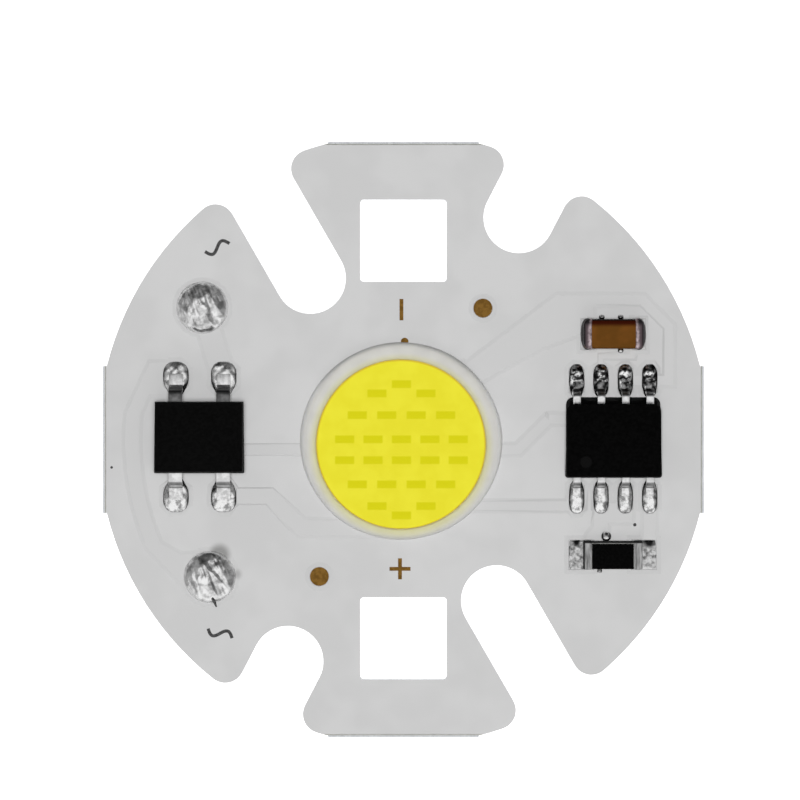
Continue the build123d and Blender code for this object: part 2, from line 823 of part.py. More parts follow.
# Domes of solder on the two wire pads
for label, place in (("wire_pad_line", line_pad), ("wire_pad_neutral", neutral_pad)):
    with BuildPart() as dome:
        with BuildSketch(Plane((*place, copper_top), (1, 0, 0), (0, -1, 0))):
            with BuildLine():
                Line((0, 0), (wire_pad_radius, 0))
                cap_curve = RadiusArc((wire_pad_radius, 0), (0, wire_dome_height), -dome_curve)
                Line((0, wire_dome_height), (0, 0))
            make_face()
        revolve(axis=Axis((*place, 0), (0, 0, 1)))
    dome.part.label = label
    export_step(dome.part, f"parts/{label}.step")
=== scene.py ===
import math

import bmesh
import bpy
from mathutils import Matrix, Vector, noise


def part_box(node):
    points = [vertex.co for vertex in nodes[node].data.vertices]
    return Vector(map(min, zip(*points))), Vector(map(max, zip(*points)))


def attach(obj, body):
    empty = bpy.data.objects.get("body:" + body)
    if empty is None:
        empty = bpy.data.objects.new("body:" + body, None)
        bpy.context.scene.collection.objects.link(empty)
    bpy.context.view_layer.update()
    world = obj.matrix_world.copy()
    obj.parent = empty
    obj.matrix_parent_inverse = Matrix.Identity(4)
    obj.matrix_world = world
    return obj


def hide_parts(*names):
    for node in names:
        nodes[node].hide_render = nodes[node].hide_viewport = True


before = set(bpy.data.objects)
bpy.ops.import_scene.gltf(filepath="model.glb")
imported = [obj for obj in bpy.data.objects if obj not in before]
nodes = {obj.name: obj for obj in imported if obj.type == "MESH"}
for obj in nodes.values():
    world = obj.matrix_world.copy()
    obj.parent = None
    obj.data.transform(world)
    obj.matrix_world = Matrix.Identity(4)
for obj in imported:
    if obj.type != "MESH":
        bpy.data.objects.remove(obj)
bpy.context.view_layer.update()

# %% [markdown]
# This lesson dresses a small led module: a round aluminium board with a white paint on top,
# a ring of silicone that holds yellow phosphor over the dies, two black packages on bent leads,
# two chip parts and two domes of solder for the mains wires. The solids come from the packed
# model and stay where they are. The lesson adds finishes, solder, rounded edges and small marks.

mm = 0.001

# %% [markdown]
# A piece takes its place from the box of the solid that it stands for, so nothing is fitted
# by eye. The levels of the layers come from the same boxes.

# %% Levels and boxes
def span(node):
    """Lowest corner, highest corner and middle of a solid."""
    low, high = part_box(node)
    return low, high, (low + high) / 2


copper_top = span("copper_line")[1].z
mask_top = span("solder_mask")[1].z
print(f"paint is {(mask_top - copper_top) / mm:.3f} mm thick over the copper")


# %% [markdown]
# Every new piece starts as a bmesh and ends the same way: normals outwards, smooth shading
# broken at sharp edges, one material, and a ride on the only body. One helper does that.

# %% Finish a piece
def new_object(name, shape):
    """Turns a bmesh into an object of the scene."""
    mesh = bpy.data.meshes.new(name)
    shape.to_mesh(mesh)
    shape.free()
    made = bpy.data.objects.new(name, mesh)
    bpy.context.scene.collection.objects.link(made)
    return made


def add_piece(name, shape, finish, slot, *replaced, sharp=35):
    """Turns a bmesh into a piece of the object that stands for the solids it replaces."""
    bmesh.ops.recalc_face_normals(shape, faces=shape.faces)
    for face in shape.faces:
        face.smooth = True
    for edge in shape.edges:
        edge.smooth = len(edge.link_faces) == 2 and edge.calc_face_angle(0) < math.radians(sharp)
    piece = new_object(name, shape)
    piece.data.materials.append(finish)
    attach(piece, "root")
    if replaced:
        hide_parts(*replaced)
    print(f"{name}: {len(piece.data.polygons)} faces")
    return piece


# %% [markdown]
# Most shapes start as a block in the box of a solid, as a copy of the solid, as the upper half
# of a ball, or as a line spun once round. Two helpers pick the edges that get rounded.

# %% Ways to start a shape
def everything(shape):
    """All the vertices, edges and faces of a bmesh, as the operators want them."""
    return shape.verts[:] + shape.edges[:] + shape.faces[:]


def round_edges(shape, edges, offset, segments):
    """Rounds the given edges."""
    bmesh.ops.bevel(shape, geom=edges, offset=offset, offset_type="OFFSET", segments=segments,
                    profile=0.5, affect="EDGES", material=-1, clamp_overlap=True)


def sharp_edges(shape, angle=30):
    """The edges where two faces meet at more than an angle in degrees."""
    return [edge for edge in shape.edges
            if len(edge.link_faces) == 2 and edge.calc_face_angle(0) > math.radians(angle)]


def upright_edges(shape, axis, place, side):
    """The upright edges of a block that lie on one side of a place along an axis."""
    return [edge for edge in shape.edges
            if abs(edge.verts[0].co.z - edge.verts[1].co.z) > 0.1 * mm
            and side * (edge.verts[0].co[axis] - place[axis]) > 0]


def merged_copy(node):
    """A bmesh copy of a solid, with its loose triangles joined."""
    shape = bmesh.new()
    shape.from_mesh(nodes[node].data)
    bmesh.ops.remove_doubles(shape, verts=shape.verts, dist=0.0005 * mm)
    return shape


def block(middle, size):
    """A bmesh cube of a size, around its middle."""
    shape = bmesh.new()
    bmesh.ops.create_cube(shape, size=1)
    bmesh.ops.scale(shape, vec=size, verts=shape.verts)
    bmesh.ops.translate(shape, vec=middle, verts=shape.verts)
    return shape


def cut_at(shape, level, clear_below=False):
    """Cuts a bmesh at a height."""
    bmesh.ops.bisect_plane(shape, geom=everything(shape), plane_co=(0, 0, level),
                           plane_no=(0, 0, 1), clear_inner=clear_below)


def add_ball(shape, place, radius, columns, rows):
    """Adds a ball to a bmesh."""
    bmesh.ops.create_uvsphere(shape, u_segments=columns, v_segments=rows, radius=radius,
                              matrix=Matrix.Translation(place))


def half_ball(columns, rows):
    """The upper half of a ball of radius 1, closed at its foot."""
    shape = bmesh.new()
    add_ball(shape, (0, 0, 0), 1, columns, rows)
    cut_at(shape, 0, clear_below=True)
    rim = [edge for edge in shape.edges if edge.is_boundary]
    bmesh.ops.holes_fill(shape, edges=rim, sides=0)
    return shape


def spun(points, steps, ring=False):
    """A line through points, each a distance and a height, spun once round the upright axis.

    A ring needs its last point joined to its first one."""
    shape = bmesh.new()
    line = [shape.verts.new((away, 0, level)) for away, level in points]
    following = line[1:] + line[:1] if ring else line[1:]
    for first, last in zip(line, following):
        shape.edges.new((first, last))
    bmesh.ops.spin(shape, geom=everything(shape), cent=(0, 0, 0), axis=(0, 0, 1), angle=math.tau,
                   steps=steps, use_merge=True)
    bmesh.ops.remove_doubles(shape, verts=shape.verts, dist=0.001 * mm)
    return shape


# %% [markdown]
# Finishes are built from a few shared effects. Each effect is a node group that puts out a
# single value over the surface: blotches, fine grain, brushed streaks, a dark foot, a soft
# round spot, and the shade of a row of dies. They read object coordinates in millimetres.

# %% Node helpers
def srgb(red, green, blue):
    """A colour as it is read off a screen, made linear."""
    def linear(part):
        share = part / 255
        return share / 12.92 if share <= 0.04045 else ((share + 0.055) / 1.055) ** 2.4
    return (linear(red), linear(green), linear(blue), 1.0)


def grey(level):
    """A plain grey as it is read off a screen."""
    return srgb(level, level, level)


def add_node(tree, kind, settings=None, **inputs):
    """Adds a node, sets its options, and fills or links its inputs by name or by number."""
    node = tree.nodes.new(kind)
    for option, value in (settings or {}).items():
        setattr(node, option, value)
    for key, value in inputs.items():
        socket = node.inputs[int(key[1:])] if key.startswith("n") else node.inputs[key]
        if isinstance(value, bpy.types.NodeSocket):
            tree.links.new(value, socket)
        else:
            socket.default_value = value
    return node


def sums(tree, operation, first, second=0.0):
    """The result of one step of arithmetic."""
    step = add_node(tree, "ShaderNodeMath", {"operation": operation}, n0=first, n1=second)
    return step.outputs[0]


def times(tree, first, second):
    """The product of two values."""
    return sums(tree, "MULTIPLY", first, second)


def smooth_step(tree, value, low, high, bottom=0.0, top=1.0):
    """A value that goes smoothly from bottom to top between low and high."""
    return add_node(tree, "ShaderNodeMapRange", {"interpolation_type": "SMOOTHSTEP"},
                    n0=value, n1=low, n2=high, n3=bottom, n4=top).outputs[0]


def mix_colours(tree, share, first, second):
    """A colour that goes from the first to the second as the share goes from 0 to 1."""
    mixed = add_node(tree, "ShaderNodeMix", {"data_type": "RGBA"}, n0=share, n6=first, n7=second)
    return mixed.outputs[2]


def millimetres(tree):
    """The place on the piece, in millimetres."""
    place = add_node(tree, "ShaderNodeTexCoord").outputs["Object"]
    scaled = add_node(tree, "ShaderNodeVectorMath", {"operation": "SCALE"}, n0=place, n3=1 / mm)
    return scaled.outputs[0]


def axes(tree):
    """The three millimetre coordinates by themselves."""
    return add_node(tree, "ShaderNodeSeparateXYZ", n0=millimetres(tree)).outputs


def true_normal(tree):
    """The way that the surface faces, as three parts."""
    geometry = add_node(tree, "ShaderNodeNewGeometry").outputs["True Normal"]
    return add_node(tree, "ShaderNodeSeparateXYZ", n0=geometry).outputs


def new_effect(name, **defaults):
    """An empty node group with named inputs and one output."""
    group = bpy.data.node_groups.new(name, "ShaderNodeTree")
    kind = "NodeSocketFloat"
    for label, value in defaults.items():
        entry = group.interface.new_socket(label, in_out="INPUT", socket_type=kind)
        entry.default_value = value
    group.interface.new_socket("Value", in_out="OUTPUT", socket_type=kind)
    inputs = group.nodes.new("NodeGroupInput").outputs
    return group, inputs, group.nodes.new("NodeGroupOutput").inputs["Value"]


# %% The shared effects
blotches, given, out = new_effect("blotches", Scale=1.0, Detail=3.0, Low=0.35, High=0.65)
cloud = add_node(blotches, "ShaderNodeTexNoise", Vector=millimetres(blotches), Scale=given["Scale"],
                 Detail=given["Detail"], Roughness=0.55).outputs[0]
blotches.links.new(smooth_step(blotches, cloud, given["Low"], given["High"]), out)

grain, given, out = new_effect("grain", Scale=10.0, Detail=2.0)
speckle = add_node(grain, "ShaderNodeTexNoise", Vector=millimetres(grain), Scale=given["Scale"],
                   Detail=given["Detail"], Roughness=0.6).outputs[0]
grain.links.new(speckle, out)

streaks, given, out = new_effect("streaks", Turn=0.0, Across=8.0, Along=0.8)
turned = add_node(streaks, "ShaderNodeVectorRotate", {"rotation_type": "Z_AXIS"},
                  Vector=millimetres(streaks), Angle=given["Turn"]).outputs[0]
part = add_node(streaks, "ShaderNodeSeparateXYZ", n0=turned).outputs
stretched = add_node(streaks, "ShaderNodeCombineXYZ", n0=times(streaks, part[0], given["Across"]),
                     n1=times(streaks, part[1], given["Along"]),
                     n2=times(streaks, part[2], given["Along"])).outputs[0]
lines = add_node(streaks, "ShaderNodeTexNoise", Vector=stretched, Scale=1.0, Detail=3.0).outputs[0]
streaks.links.new(lines, out)

dark_foot, given, out = new_effect("dark_foot", Level=1.15, Reach=0.1)
ceiling = sums(dark_foot, "ADD", given["Level"], given["Reach"])
above_foot = smooth_step(dark_foot, axes(dark_foot)[2], given["Level"], ceiling)
dark_foot.links.new(above_foot, out)

spot, given, out = new_effect("spot", X=0.0, Y=0.0, Inner=1.0, Outer=2.0)
place = axes(spot)
away_x = sums(spot, "SUBTRACT", place[0], given["X"])
away_y = sums(spot, "SUBTRACT", place[1], given["Y"])
squares = sums(spot, "ADD", times(spot, away_x, away_x), times(spot, away_y, away_y))
radius = sums(spot, "SQRT", squares)
spot.links.new(smooth_step(spot, radius, given["Inner"], given["Outer"], 1.0, 0.0), out)


def use(tree, group, **values):
    """Places a shared effect in a material and gives back its output."""
    node = tree.nodes.new("ShaderNodeGroup")
    node.node_tree = group
    for label, value in values.items():
        node.inputs[label].default_value = value
    return node.outputs[0]


def patchy(tree, dark, light, **pattern):
    """Two shades in the pattern of the blotches."""
    return mix_colours(tree, use(tree, blotches, **pattern), dark, light)


def new_finish(name, roughness, specular, metallic=0.0):
    """A material with its shader, ready for colour and relief."""
    material = bpy.data.materials.new(name)
    material.use_nodes = True
    tree = material.node_tree
    shader = tree.nodes["Principled BSDF"]
    levels = {"Roughness": roughness, "Specular IOR Level": specular, "Metallic": metallic}
    for label, value in levels.items():
        shader.inputs[label].default_value = value
    return material, tree, shader


def relief(shader, height, depth):
    """Turns a height into relief of a depth in millimetres."""
    tree = shader.id_data
    bump = add_node(tree, "ShaderNodeBump", Strength=1.0, Distance=depth * mm, Height=height)
    tree.links.new(bump.outputs[0], shader.inputs["Normal"])


def colour(shader, socket):
    """Gives the shader its colour."""
    shader.id_data.links.new(socket, shader.inputs["Base Color"])


def plain_finish(name, roughness, specular, metallic, patch, dark, light, speck=None, depth=None):
    """A finish of patches in two shades. Where a speck and a depth are given it has grain."""
    material, tree, shader = new_finish(name, roughness, specular, metallic)
    colour(shader, patchy(tree, dark, light, Scale=patch))
    if speck:
        relief(shader, use(tree, grain, Scale=speck), depth)
    return material


# %% [markdown]
# The white paint on the board looks light grey here. It is slightly uneven, with an orange
# peel. It is a touch greyer over the copper, and on the steps at the tracks it is painted a
# darker grey as shade, so the material reads the height and how far the surface leans. Two
# soft round spots make the paint grey beside one of the wire domes.

# %% White paint
white_paint, tree, shader = new_finish("white_paint", 0.5, 0.15)
low_paint = patchy(tree, grey(204), grey(209), Scale=0.35, Detail=2.0)
over_copper = use(tree, dark_foot, Level=copper_top / mm, Reach=(mask_top - copper_top) / mm)
flat_paint = mix_colours(tree, over_copper, low_paint, grey(205))
uneven = smooth_step(tree, use(tree, blotches, Scale=0.25, Detail=1.0), 0.0, 1.0, 0.45, 1.0)
# Painted shade: the paint goes darker wherever the surface leans, on the steps at the tracks.
slope_shade = times(tree, smooth_step(tree, true_normal(tree)[2], 0.995, 0.975), uneven)
paint_before_patches = mix_colours(tree, slope_shade, flat_paint, grey(190))
# Two soft round spots turn the paint grey beside the neutral dome.
upper_grey_patch = use(tree, spot, X=-9.62, Y=-6.0, Inner=0.25, Outer=0.72)
side_grey_patch = use(tree, spot, X=-8.72, Y=-7.05, Inner=0.05, Outer=0.38)
grey_patches = sums(tree, "MAXIMUM", upper_grey_patch, times(tree, side_grey_patch, 0.6))
paint = mix_colours(tree, grey_patches, paint_before_patches, srgb(150, 150, 149))
relief(shader, use(tree, grain, Scale=9.0), 0.002)
colour(shader, paint)

# %% [markdown]
# Aluminium shows on the back and on the punched edge. Rolled sheet has long streaks one way.

# %% Aluminium, insulation and copper
aluminium, tree, shader = new_finish("rolled_aluminium", 0.38, 0.5, 1.0)
rolled = use(tree, streaks, Turn=0.12, Across=9.0, Along=0.35)
colour(shader, mix_colours(tree, rolled, srgb(140, 142, 146), srgb(182, 184, 187)))
relief(shader, rolled, 0.006)

insulation = plain_finish("insulation", 0.6, 0.3, 0.0, 3.0, srgb(168, 170, 160),
                          srgb(186, 187, 178), 14.0, 0.003)
bare_copper = plain_finish("bare_copper", 0.5, 0.1, 0.15, 5.0, srgb(108, 78, 32),
                           srgb(132, 98, 44), 22.0, 0.003)
pad_tin = plain_finish("pad_tin", 0.4, 0.2, 0.2, 5.0, grey(176), grey(206), 12.0, 0.006)

# %% [markdown]
# Solder and tinned leads are the liveliest surfaces. Their brightness comes from what they
# reflect. The colour of each joint darkens towards the pad, and its flanks, where the surface
# turns to either side, are painted dark as shade. The bends of the leads are dark from above,
# so a dark shade is painted where they bend. The necks behind the rectifier and the feet behind
# the driver are painted in shade, so the tin has a plain version and two shaded ones.

# %% Solder and tin
def solder_finish(name, dull, scale, low, high):
    """Solder with a darker foot and painted shade on its flanks, mottled from a dull grey to a
    bright one.
    """
    material, tree, shader = new_finish(name, 0.26, 0.5, 1.0)
    foot = use(tree, dark_foot, Level=copper_top / mm, Reach=0.08)
    clean = patchy(tree, grey(dull), grey(240), Scale=scale, Detail=2.0, Low=low, High=high)
    # Painted shade: the flanks, where the surface faces to either side, go dark.
    flank_shade = smooth_step(tree, sums(tree, "ABSOLUTE", true_normal(tree)[0]), 0.4, 0.75)
    with_flank_shade = mix_colours(tree, flank_shade, clean, grey(26))
    colour(shader, mix_colours(tree, foot, grey(34), with_flank_shade))
    relief(shader, use(tree, streaks, Turn=0.4, Across=4.0, Along=3.0), 0.014)
    return material


joint_solder = solder_finish("joint_solder", 146, 3.4, 0.3, 0.55)
# The driver's back joints get a shaded copy: their mottle is painted down to near black as shade.
back_shaded_solder = solder_finish("back_shaded_solder", 34, 4.5, 0.42, 0.68)

dome_solder, tree, shader = new_finish("dome_solder", 0.3, 0.5, 1.0)
colour(shader, patchy(tree, grey(160), grey(242), Scale=2.2, Low=0.3, High=0.6))
folded = use(tree, streaks, Turn=0.42, Across=4.4, Along=0.8)
crumbled = times(tree, use(tree, grain, Scale=4.5), 0.6)
relief(shader, sums(tree, "ADD", folded, crumbled), 0.035)

thorn_solder = plain_finish("thorn_solder", 0.5, 0.3, 0.6, 6.0, grey(44), grey(92), 9.0, 0.01)
# Painted shade: the capacitor's joints are painted near black, for the dark ring that their steep
# sides show.
shaded_ring_solder = plain_finish("shaded_ring_solder", 0.45, 0.25, 0.35, 4.0, srgb(26, 24, 24),
                           srgb(60, 55, 56), 6.0, 0.01)

chip_solder, tree, shader = new_finish("chip_solder", 0.42, 0.5, 0.8)
mottled = patchy(tree, grey(120), grey(222), Scale=4.5, Low=0.3, High=0.62)
left_burn = use(tree, spot, X=9.06, Y=-5.38, Inner=0.08, Outer=0.30)
right_burn = use(tree, spot, X=12.86, Y=-5.34, Inner=0.14, Outer=0.46)
burnt = sums(tree, "MAXIMUM", left_burn, right_burn)
colour(shader, mix_colours(tree, burnt, mottled, grey(22)))
relief(shader, use(tree, grain, Scale=5.0), 0.03)


def tin_finish(name, neck, low, high):
    """Tin on a lead: a neck painted at a given level, a painted dark shade at the bend below it and
    a patchy foot.
    """
    material, tree, shader = new_finish(name, 0.3, 0.5, 1.0)
    foot = patchy(tree, grey(low), grey(high), Scale=4.5)
    at_neck = use(tree, dark_foot, Level=copper_top / mm + 0.45, Reach=0.2)
    neck_tone = patchy(tree, grey(neck - 30), grey(neck), Scale=3.0, Detail=4.0)
    past_foot = use(tree, dark_foot, Level=copper_top / mm + 0.22, Reach=0.05)
    # Painted shade: where the lead leans steeply at the bend it goes dark grey.
    steepness = sums(tree, "ABSOLUTE", true_normal(tree)[1])
    rounded = times(tree, smooth_step(tree, steepness, 0.2, 0.5, 0.0, 0.75),
                    smooth_step(tree, steepness, 0.86, 0.97, 1.0, 0.6))
    bend = times(tree, past_foot, rounded)
    bright = mix_colours(tree, at_neck, foot, neck_tone)
    colour(shader, mix_colours(tree, bend, bright, grey(52)))
    relief(shader, use(tree, streaks, Turn=0.0, Across=8.0, Along=2.0), 0.006)
    return material


# The front leads get the plain tin. The rectifier's back necks and the driver's back feet are
# painted in shade.
plain_tin = tin_finish("plain_tin", 240, 196, 242)
shaded_neck_tin = tin_finish("shaded_neck_tin", 132, 220, 252)
back_shaded_tin = tin_finish("back_shaded_tin", 246, 40, 168)

# %% [markdown]
# The two packages are moulded in a deep black compound with a very fine grain. Almost no
# light comes back from it when it is seen from straight above, so its specular level is low.

# %% Black mould, ceramics and caps
dimple_x, dimple_y, dimple_radius = 9.52, -1.18, 0.32


def mould(name, dark, light):
    """Black moulding compound between two shades, a little paler in the driver's pin dimple."""
    material, tree, shader = new_finish(name, 0.6, 0.02)
    compound = patchy(tree, grey(dark), grey(light), Scale=7.0, Detail=4.0)
    polished = use(tree, spot, X=dimple_x, Y=dimple_y, Inner=dimple_radius * 0.85,
                   Outer=dimple_radius * 1.1)
    colour(shader, mix_colours(tree, polished, compound, grey(light + 8)))
    relief(shader, use(tree, grain, Scale=26.0, Detail=3.0), 0.006)
    return material


rectifier_mould = mould("rectifier_mould", 7, 12)
driver_mould = mould("driver_mould", 3, 8)

brown_ceramic, tree, shader = new_finish("brown_ceramic", 0.45, 0.05)
brown = patchy(tree, srgb(97, 62, 22), srgb(109, 68, 26), Scale=1.1, Detail=2.0)
ceramic_high, ceramic_middle = span("capacitor_body")[1:]
far_edge = ceramic_high.y / mm
depth = axes(tree)[1]
# Painted shade: along the far long edge the brown goes to a dark red band and then a near-black
# line.
in_shade_band = smooth_step(tree, depth, far_edge - 0.46, far_edge - 0.20)
in_shade_line = smooth_step(tree, depth, far_edge - 0.13, far_edge - 0.03)
far_edge_shade = mix_colours(tree, in_shade_line, srgb(52, 14, 3), srgb(12, 8, 6))
colour(shader, mix_colours(tree, in_shade_band, brown, far_edge_shade))
relief(shader, use(tree, grain, Scale=12.0), 0.004)

cap_metal, tree, shader = new_finish("cap_metal", 0.4, 0.4, 0.7)
pinkish = patchy(tree, srgb(136, 120, 124), srgb(214, 196, 200), Scale=5.0)
place = axes(tree)
from_middle = sums(tree, "ABSOLUTE", sums(tree, "SUBTRACT", place[0], ceramic_middle.x / mm))
# Painted shade: the caps darken towards their ends and go near black at the very ends and at their
# far corners.
to_end = smooth_step(tree, from_middle, 1.20, 1.42)
end_shaded = mix_colours(tree, to_end, pinkish, srgb(88, 76, 80))
at_far_side = smooth_step(tree, place[1], far_edge - 0.46, far_edge - 0.14)
far_corner_shade = times(tree, at_far_side, smooth_step(tree, from_middle, 1.14, 1.34))
cap_shade = sums(tree, "MAXIMUM", far_corner_shade, smooth_step(tree, from_middle, 1.42, 1.54))
colour(shader, mix_colours(tree, cap_shade, end_shaded, srgb(34, 30, 32)))
relief(shader, use(tree, grain, Scale=7.0), 0.01)

resistor_far = span("resistor_ceramic")[1].y / mm
resistor_left = span("resistor_end_left")[0].x / mm


def far_side_shade(tree):
    """A painted shade: the dark line along the far side of the resistor."""
    return smooth_step(tree, axes(tree)[1], resistor_far - 0.15, resistor_far - 0.09)


band_metal, tree, shader = new_finish("band_metal", 0.5, 0.3, 0.3)
worn = smooth_step(tree, use(tree, streaks, Turn=0.0, Across=9.0, Along=1.2), 0.3, 0.7)
banded = mix_colours(tree, worn, grey(112), grey(182))
# The bands also darken in a thin line at their left end.
left_end_line = smooth_step(tree, axes(tree)[0], resistor_left + 0.12, resistor_left + 0.06)
shade_and_end_line = sums(tree, "MAXIMUM", far_side_shade(tree), left_end_line)
colour(shader, mix_colours(tree, shade_and_end_line, banded, grey(26)))
relief(shader, worn, 0.01)

white_ceramic, tree, shader = new_finish("white_ceramic", 0.5, 0.3)
fired = patchy(tree, srgb(126, 126, 124), srgb(156, 156, 154), Scale=6.0)
# The ceramic gets the same painted shade along its far side.
colour(shader, mix_colours(tree, far_side_shade(tree), fired, grey(26)))
relief(shader, use(tree, grain, Scale=20.0), 0.005)

black_glass = plain_finish("black_glass", 0.5, 0.02, 0.0, 9.0, grey(2), grey(8), 18.0, 0.004)
dark_print = plain_finish("dark_print", 0.55, 0.2, 0.0, 8.0, grey(58), grey(84), 20.0, 0.002)
gold = plain_finish("gold_wire", 0.25, 0.5, 1.0, 9.0, srgb(222, 170, 80), srgb(245, 205, 120))
die_blue = plain_finish("die_face", 0.2, 0.5, 0.0, 6.0, srgb(120, 132, 150), srgb(150, 160, 176))

# %% [markdown]
# The phosphor is a yellow silicone. The dies under it show as slightly deeper yellow
# rectangles. One node group shades a row of dies from its height on the board, its pitch
# and its half length, and the material adds the rows up. In the first and the last row the
# middle die stands further out, so it is shaded as a row of its own.

# %% Shade of a row of dies
die_length = 1.0
die_width = 0.4
edge_blur = 0.045
die_row, given, out = new_effect("die_row", Row=0.0, Middle=0.0, Pitch=20.0, Shift=0.0,
                                 Half_span=0.5)
place = axes(die_row)
from_middle = sums(die_row, "SUBTRACT", place[0], given["Middle"])
shifted = sums(die_row, "ADD", from_middle, given["Shift"])
half_pitch = times(die_row, given["Pitch"], 0.5)
nearest = sums(die_row, "SNAP", sums(die_row, "ADD", shifted, half_pitch), given["Pitch"])
along = sums(die_row, "ABSOLUTE", sums(die_row, "SUBTRACT", shifted, nearest))
across = sums(die_row, "ABSOLUTE", sums(die_row, "SUBTRACT", place[1], given["Row"]))
in_row = sums(die_row, "LESS_THAN", sums(die_row, "ABSOLUTE", from_middle), given["Half_span"])


def within(away, size):
    """1 inside half a size from the middle and 0 beyond it, with a blurred edge."""
    return smooth_step(die_row, away, size / 2 - edge_blur, size / 2 + edge_blur, 1.0, 0.0)


both_ways = times(die_row, within(along, die_length), within(across, die_width))
die_row.links.new(times(die_row, both_ways, in_row), out)

# %% Phosphor
dam_low, dam_high, dam_middle = span("dam_ring")
dam_radius = (dam_high.x - dam_low.x) / 2
rim_radius = 4.40
rim_drop = 0.18
rim_x = dam_middle.x / mm
rim_y = dam_middle.y / mm - rim_drop
phosphor, tree, shader = new_finish("phosphor", 0.6, 0.05)
row_counts = {1: 2, 2: 4, 3: 5, 4: 5, 5: 4, 6: 2}
shades = []
for number, count in row_counts.items():
    low, high, middle = (corner / mm for corner in span(f"led_row_{number}"))
    pitch = (high.x - low.x - die_length) / (count - 1)
    row_y = middle.y
    if number in (1, 6):
        ends = (low.y + die_width / 2, high.y - die_width / 2)
        row_y, crown_y = ends if number == 1 else reversed(ends)
        shades.append(use(tree, die_row, Row=crown_y, Middle=middle.x, Half_span=die_length))
    shift = 0.0 if count % 2 else pitch / 2
    shades.append(use(tree, die_row, Row=row_y, Middle=middle.x, Pitch=pitch, Shift=shift,
                      Half_span=middle.x - low.x + edge_blur))
all_rows = shades[0]
for shade in shades[1:]:
    all_rows = sums(tree, "ADD", all_rows, shade)
yellow = patchy(tree, srgb(235, 226, 52), srgb(239, 231, 58), Scale=0.8, Detail=2.0)
body = mix_colours(tree, all_rows, yellow, srgb(219, 213, 26))
inside_rim = use(tree, spot, X=rim_x, Y=rim_y, Inner=rim_radius - 0.08, Outer=rim_radius + 0.01)
colour(shader, mix_colours(tree, inside_rim, srgb(212, 186, 58), body))
relief(shader, use(tree, grain, Scale=6.0), 0.002)
print(f"{len(shades)} rows of dies in the phosphor")

# %% [markdown]
# The dam is a clear white silicone. Close to the phosphor a yellow glow from it is painted in,
# and its outer edge is painted lighter at the front and sides and darker at the far side.

# %% Dam silicone
silicone, tree, shader = new_finish("dam_silicone", 0.4, 0.15)
shader.inputs["Subsurface Weight"].default_value = 0.7
shader.inputs["Subsurface Radius"].default_value = (1.0, 1.0, 0.9)
shader.inputs["Subsurface Scale"].default_value = 0.35 * mm
near_phosphor = use(tree, spot, X=rim_x, Y=rim_y - 0.1, Inner=rim_radius, Outer=rim_radius + 0.55)
milky = patchy(tree, srgb(209, 208, 204), srgb(216, 215, 210), Scale=0.6)
dam_edge = dam_radius / mm
inner_part = use(tree, spot, X=rim_x, Y=dam_middle.y / mm, Inner=dam_edge - 0.34,
                 Outer=dam_edge - 0.06)
edge_here = sums(tree, "SUBTRACT", 1.0, inner_part)
# Painted light and shade: the outer edge is lighter at the front and sides, as if lit through, and
# darker at the far side.
far_shade_share = smooth_step(tree, axes(tree)[1], 2.2, 4.4)
edge_light_and_shade = mix_colours(tree, far_shade_share, srgb(222, 222, 220), srgb(176, 176, 174))
with_edge_light = mix_colours(tree, edge_here, milky, edge_light_and_shade)
# Painted light: a yellow glow from the phosphor in the silicone close to it.
with_yellow_glow = mix_colours(tree, times(tree, near_phosphor, 0.7), with_edge_light, srgb(214, 211, 152))
fringe = use(tree, spot, X=rim_x, Y=rim_y, Inner=rim_radius + 0.04, Outer=rim_radius + 0.12)
fringed = times(tree, fringe, 0.35)
colour(shader, mix_colours(tree, fringed, with_yellow_glow, srgb(204, 178, 104)))
relief(shader, use(tree, grain, Scale=3.0), 0.004)

# %% [markdown]
# The solids that keep their own shape get their finish by assigning it to their slots.

# %% Dress the solids that stay
def dress(material, *names):
    """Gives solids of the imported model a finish."""
    for name in names:
        slots = nodes[name].data.materials
        slots.clear()
        slots.append(material)


coppers = [name for name in nodes if name.startswith("copper_")]
dress(aluminium, "aluminium_base")
dress(insulation, "dielectric_layer")
dress(bare_copper, "fiducial_dots")
dress(pad_tin, *coppers)
dress(die_blue, *[f"led_row_{number}" for number in row_counts])
dress(gold, "bond_wires")
dress(black_glass, "resistor_overcoat")
print(f"{len(coppers)} copper nets dressed")

# %% [markdown]
# The paint swells over the copper tracks. In the solid the step is upright and could not be
# seen from above, so here each step becomes a slope: its upper rim moves in and its lower rim
# moves out, along the wall's own normal. A step down to bare copper stays steeper than one that
# runs out over the board, because the paint was opened there and did not flow. Where two rims
# are so close that a level face between them would turn over, they move less.

# %% Paint over the tracks
flowed_in = 0.07 * mm
flowed_out = 0.12 * mm
opened_half = 0.018 * mm
tiny = 0.002 * mm
attempts = 6


def is_opening(face):
    """True for a wall with paint over copper at its foot."""
    feet = [vert for vert in face.verts if vert.co.z < copper_top + tiny]
    return any(other.normal.z < -0.9 for vert in feet for other in vert.link_faces)


def wall_shift(vert, slopes):
    """How far a corner moves so that each wall that meets there moves by its own width."""
    ways = []
    half = 0.0
    upper = vert.co.z > copper_top + tiny
    for face in vert.link_faces:
        if face not in slopes:
            continue
        half = -slopes[face][1] if upper else slopes[face][0]
        way = Vector((face.normal.x, face.normal.y, 0)).normalized()
        if all(way.dot(other) < 0.9999 for other in ways):
            ways.append(way)
    if not ways:
        return Vector()
    first, last = ways[0], ways[-1]
    return half * (first + last) / max(1 + first.dot(last), 0.4)


